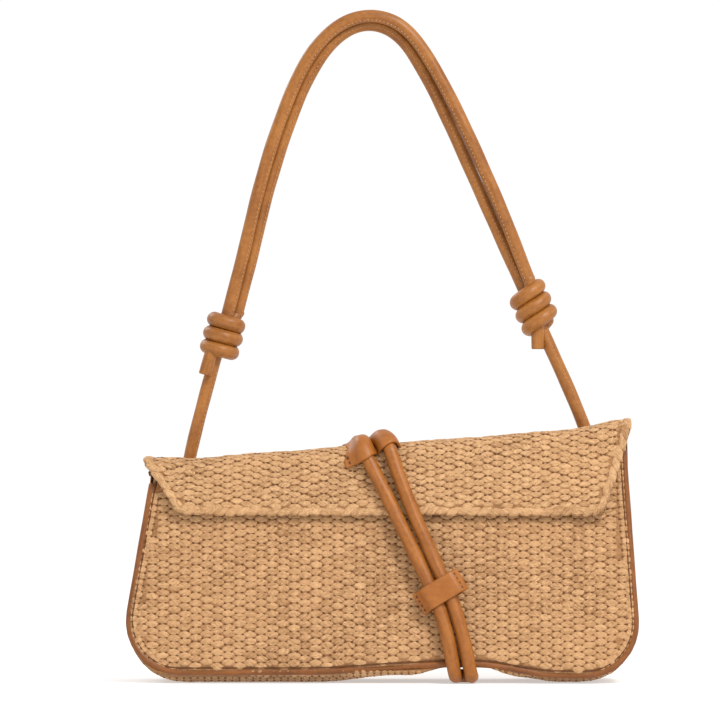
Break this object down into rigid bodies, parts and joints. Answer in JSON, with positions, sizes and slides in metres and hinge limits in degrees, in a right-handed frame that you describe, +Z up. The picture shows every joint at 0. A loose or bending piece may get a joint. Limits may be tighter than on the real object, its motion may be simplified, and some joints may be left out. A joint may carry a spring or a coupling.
{
  "type": "shoulder bag",
  "caption": "Woven raffia shoulder bag with leather piping, a fold-over flap held by a leather cord and keeper, and a knotted double-cord leather strap.",
  "frame": {"origin": "centre of the bag's box at floor level, under the base", "axes": "+Z up; -Y is the bag's front, the side that the flap and the closure cord are on; +X is to the right seen from the front"},
  "size_m": [0.3031, 0.0722, 0.3996],
  "materials": {
    "straw": "woven raffia, matt with a faint natural sheen",
    "flap_straw": "woven raffia in flat horizontal stitches",
    "cord_leather": "rolled leather cord, smooth, satin",
    "strap_leather": "rolled leather cord with a sewn edge, satin",
    "trim_leather": "smooth leather, satin",
    "piping_leather": "leather-covered piping",
    "lining_cloth": "plain cotton lining",
    "magnet_brass": "brushed brass magnetic snap"
  },
  "bodies": {
    "bag": {"front_panel": "straw", "back_panel": "straw", "gusset": "straw", "front_piping": "piping_leather", "back_piping": "piping_leather", "mouth_binding": "trim_leather", "snap_socket": "magnet_brass", "lining_front": "lining_cloth", "lining_back": "lining_cloth", "lining_gusset": "lining_cloth", "slip_pocket": "lining_cloth", "strap_tunnel_left": "trim_leather", "strap_tunnel_right": "trim_leather"},
    "flap": {"flap_panel": "flap_straw", "flap_facing": "lining_cloth", "snap_stud": "magnet_brass", "cord_sleeve_left": "trim_leather", "cord_sleeve_right": "trim_leather", "cord_end_left": "cord_leather", "cord_end_right": "cord_leather"},
    "closure": {"closure_cord": "cord_leather"},
    "keeper": {"keeper_front": "trim_leather", "keeper_back": "trim_leather"},
    "strap": {"strap_cord_outer": "strap_leather", "strap_cord_inner": "strap_leather", "strap_stop_left": "strap_leather", "strap_stop_right": "strap_leather"},
    "knot_left": {"knot_left": "strap_leather"},
    "knot_right": {"knot_right": "strap_leather"}
  },
  "joints": [
    {"name": "flap_hinge", "type": "hinge", "parent": "bag", "child": "flap", "pos_m": [-0.01055, 0.00176, 0.14061], "axis": [-0.9972, 0, -0.0748], "range_deg": [0, 140]},
    {"name": "closure_swing", "type": "hinge", "parent": "flap", "child": "closure", "pos_m": [-0.0076, -0.01341, 0.1299], "axis": [-0.9131, -0.0589, -0.4035], "range_deg": [0, 85]},
    {"name": "keeper_slide", "type": "slide", "parent": "closure", "child": "keeper", "axis": [-0.4173, 0.1371, 0.8983], "range_m": [0, 0.02]},
    {"name": "strap_swing", "type": "hinge", "parent": "bag", "child": "strap", "pos_m": [0, 0.0211, 0.11833], "axis": [-0.9972, 0, -0.0748], "range_deg": [0, 150]},
    {"name": "knot_left_slide", "type": "slide", "parent": "strap", "child": "knot_left", "axis": [-0.2689, 0.0229, -0.9629], "range_m": [0, 0.04]},
    {"name": "knot_right_slide", "type": "slide", "parent": "strap", "child": "knot_right", "axis": [0.4122, -0.0261, -0.9107], "range_m": [0, 0.04]}
  ]
}
